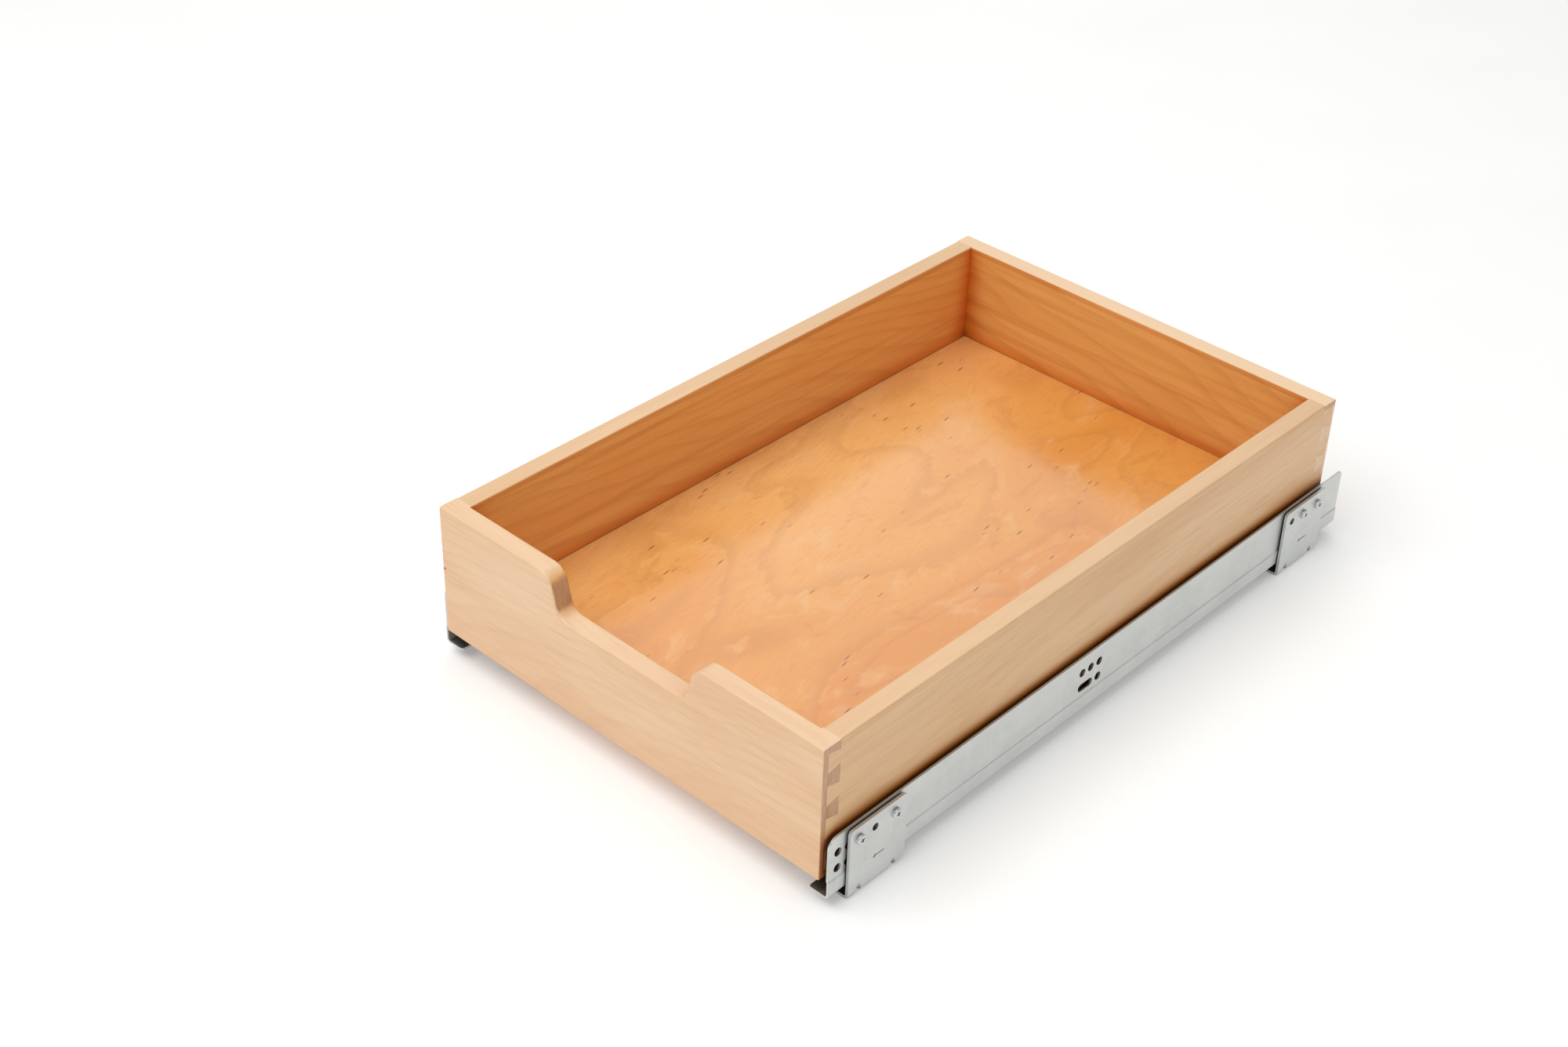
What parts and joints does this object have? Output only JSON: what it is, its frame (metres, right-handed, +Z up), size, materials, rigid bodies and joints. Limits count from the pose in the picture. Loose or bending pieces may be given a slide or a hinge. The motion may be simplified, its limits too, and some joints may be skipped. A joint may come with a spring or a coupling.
{
  "type": "under desk drawer",
  "caption": "Pull-out dovetailed wooden drawer box with a scooped front, on concealed full-extension soft-close runners whose steel cabinet rails stand on floor brackets.",
  "frame": {"origin": "on the floor, under the centre of the whole footprint", "axes": "+X right, +Y to the back, +Z up; the drawer opens towards -Y"},
  "size_m": [0.359, 0.553, 0.1219],
  "materials": {
    "maple_boards": "satin clear lacquer",
    "plywood": "glossy clear lacquer",
    "zinc_plated_steel": "zinc plated, satin",
    "bright_steel": "zinc plated, bright",
    "natural_plastic": "natural acetal",
    "dark_plastic": "moulded, fine texture",
    "grey_plastic": "moulded, fine texture",
    "orange_plastic": "moulded, fine texture"
  },
  "bodies": {
    "cabinet_side": {"cabinet_rail_left": "zinc_plated_steel", "bracket_front_left": "zinc_plated_steel", "bracket_rear_left": "zinc_plated_steel", "bracket_screws_left": "bright_steel", "damper_housing_left": "grey_plastic", "damper_cylinder_left": "natural_plastic", "cabinet_rail_right": "zinc_plated_steel", "bracket_front_right": "zinc_plated_steel", "bracket_rear_right": "zinc_plated_steel", "bracket_screws_right": "bright_steel", "damper_housing_right": "grey_plastic", "damper_cylinder_right": "natural_plastic"},
    "drawer": {"drawer_front": "maple_boards", "drawer_back": "maple_boards", "drawer_side_left": "maple_boards", "drawer_side_right": "maple_boards", "drawer_bottom": "plywood", "top_band_left": "maple_boards", "top_band_right": "maple_boards", "top_band_back": "maple_boards", "drawer_rail_left": "zinc_plated_steel", "clip_body_left": "dark_plastic", "clip_screws_left": "bright_steel", "drawer_rail_right": "zinc_plated_steel", "clip_body_right": "dark_plastic", "clip_screws_right": "bright_steel"},
    "middle_left": {"middle_rail_left": "zinc_plated_steel"},
    "lower_carriage_left": {"lower_cage_left": "natural_plastic", "lower_rollers_left": "bright_steel"},
    "upper_carriage_left": {"upper_cage_left": "natural_plastic", "upper_rollers_left": "bright_steel"},
    "lever_left": {"release_lever_left": "orange_plastic"},
    "wheel_left": {"height_wheel_left": "grey_plastic"},
    "soft_close_left": {"catch_left": "orange_plastic", "damper_rod_left": "bright_steel", "closing_spring_left": "bright_steel"},
    "middle_right": {"middle_rail_right": "zinc_plated_steel"},
    "lower_carriage_right": {"lower_cage_right": "natural_plastic", "lower_rollers_right": "bright_steel"},
    "upper_carriage_right": {"upper_cage_right": "natural_plastic", "upper_rollers_right": "bright_steel"},
    "lever_right": {"release_lever_right": "orange_plastic"},
    "wheel_right": {"height_wheel_right": "grey_plastic"},
    "soft_close_right": {"catch_right": "orange_plastic", "damper_rod_right": "bright_steel", "closing_spring_right": "bright_steel"}
  },
  "joints": [
    {"name": "drawer_slide", "type": "slide", "parent": "cabinet_side", "child": "drawer", "axis": [0, -1, 0], "range_m": [0, 0.51]},
    {"name": "middle_left_slide", "type": "slide", "parent": "cabinet_side", "child": "middle_left", "axis": [0, -1, 0], "range_m": [0, 0.255]},
    {"name": "lower_carriage_left_slide", "type": "slide", "parent": "cabinet_side", "child": "lower_carriage_left", "axis": [0, -1, 0], "range_m": [0, 0.1275]},
    {"name": "upper_carriage_left_slide", "type": "slide", "parent": "cabinet_side", "child": "upper_carriage_left", "axis": [0, -1, 0], "range_m": [0, 0.3825]},
    {"name": "catch_left_slide", "type": "slide", "parent": "cabinet_side", "child": "soft_close_left", "axis": [0, -1, 0], "range_m": [0, 0.045]},
    {"name": "lever_left_squeeze", "type": "hinge", "parent": "drawer", "child": "lever_left", "pos_m": [-0.1105, -0.2375, 0.0295], "axis": [0, 0, -1], "range_deg": [0, 10]},
    {"name": "wheel_left_turn", "type": "hinge", "parent": "drawer", "child": "wheel_left", "pos_m": [-0.1185, -0.2155, 0.0295], "axis": [0, 0, -1], "range_deg": [0, 270]},
    {"name": "middle_right_slide", "type": "slide", "parent": "cabinet_side", "child": "middle_right", "axis": [0, -1, 0], "range_m": [0, 0.255]},
    {"name": "lower_carriage_right_slide", "type": "slide", "parent": "cabinet_side", "child": "lower_carriage_right", "axis": [0, -1, 0], "range_m": [0, 0.1275]},
    {"name": "upper_carriage_right_slide", "type": "slide", "parent": "cabinet_side", "child": "upper_carriage_right", "axis": [0, -1, 0], "range_m": [0, 0.3825]},
    {"name": "catch_right_slide", "type": "slide", "parent": "cabinet_side", "child": "soft_close_right", "axis": [0, -1, 0], "range_m": [0, 0.045]},
    {"name": "lever_right_squeeze", "type": "hinge", "parent": "drawer", "child": "lever_right", "pos_m": [0.1105, -0.2375, 0.0295], "axis": [0, 0, 1], "range_deg": [0, 10]},
    {"name": "wheel_right_turn", "type": "hinge", "parent": "drawer", "child": "wheel_right", "pos_m": [0.1185, -0.2155, 0.0295], "axis": [0, 0, 1], "range_deg": [0, 270]}
  ],
  "couplings": [
    {"joint": "middle_left_slide", "follows": "drawer_slide", "ratio": 0.5},
    {"joint": "lower_carriage_left_slide", "follows": "drawer_slide", "ratio": 0.25},
    {"joint": "upper_carriage_left_slide", "follows": "drawer_slide", "ratio": 0.75},
    {"joint": "middle_right_slide", "follows": "drawer_slide", "ratio": 0.5},
    {"joint": "lower_carriage_right_slide", "follows": "drawer_slide", "ratio": 0.25},
    {"joint": "upper_carriage_right_slide", "follows": "drawer_slide", "ratio": 0.75}
  ]
}
